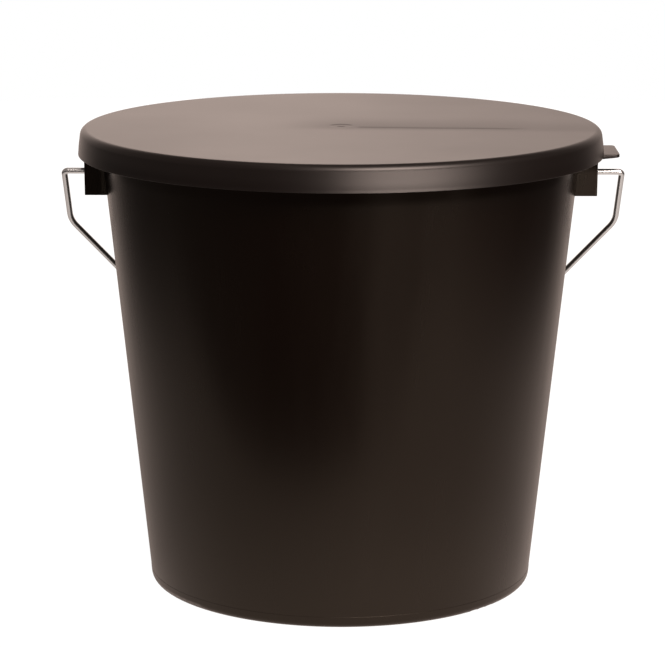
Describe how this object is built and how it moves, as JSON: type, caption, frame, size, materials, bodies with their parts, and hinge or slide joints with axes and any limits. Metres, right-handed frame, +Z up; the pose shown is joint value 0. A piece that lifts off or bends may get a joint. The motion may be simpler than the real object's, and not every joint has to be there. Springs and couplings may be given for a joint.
{
  "type": "bucket with lid",
  "caption": "Tapered round bucket with a turned-over rim, hollow ears, a swinging wire bail with a roll grip, and a flat press-on lid with skirt and lift tab.",
  "frame": {"origin": "on the floor under the middle of the bucket", "axes": "+Z up along the bucket's axis, +X to the right through the ears and the lid's lift tab, +Y to the rear, where the bail hangs"},
  "size_m": [0.3304, 0.3066, 0.2707],
  "materials": {
    "bucket_plastic": "warm black moulded polypropylene, satin",
    "lid_plastic": "warm black moulded polyethylene, fine matt grain on top",
    "bail_steel": "drawn galvanised wire",
    "grip_plastic": "black moulded plastic"
  },
  "bodies": {
    "bucket": {"bucket_body": "bucket_plastic"},
    "lid": {"lid": "lid_plastic"},
    "bail": {"bail_wire": "bail_steel"},
    "grip": {"bail_grip": "grip_plastic"}
  },
  "joints": [
    {"name": "lid_lift", "type": "slide", "parent": "bucket", "child": "lid", "axis": [0, 0, 1], "range_m": [0, 0.32]},
    {"name": "bail_swing", "type": "hinge", "parent": "bucket", "child": "bail", "pos_m": [0, 0, 0.2438], "axis": [1, 0, 0], "range_deg": [0, 288.05]},
    {"name": "grip_roll", "type": "hinge", "parent": "bail", "child": "grip", "pos_m": [0.0012, 0.13038, 0.06412], "axis": [1, 0, 0], "continuous": true}
  ]
}
